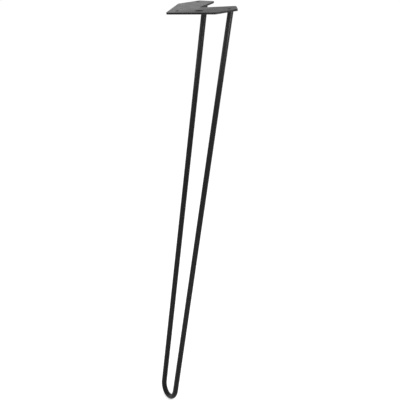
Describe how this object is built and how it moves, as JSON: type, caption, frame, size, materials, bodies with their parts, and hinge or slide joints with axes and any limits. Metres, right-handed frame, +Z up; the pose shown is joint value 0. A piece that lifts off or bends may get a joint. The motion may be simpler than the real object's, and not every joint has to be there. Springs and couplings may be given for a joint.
{
  "type": "hairpin table leg",
  "caption": "Hairpin table leg: one bent steel rod welded under an arrow-shaped corner plate with screw holes; it leans outwards to a rounded foot.",
  "frame": {"origin": "centre of the corner screw hole, on the mounting plate's top face", "axes": "+Z up, out of the plate's top face, with the leg hanging below it; +X along the plate's line of symmetry, from its outer corner in towards the notch; +Y towards the arm without the obround hole"},
  "size_m": [0.1612, 0.113, 0.7111],
  "materials": {
    "plate_coat": "satin black powder coat",
    "rod_coat": "satin black powder coat",
    "weld_coat": "satin black powder coat over a weld bead"
  },
  "bodies": {
    "root": {"mounting_plate": "plate_coat", "hairpin_rod": "rod_coat", "left_weld_bead": "weld_coat", "right_weld_bead": "weld_coat"}
  },
  "joints": []
}
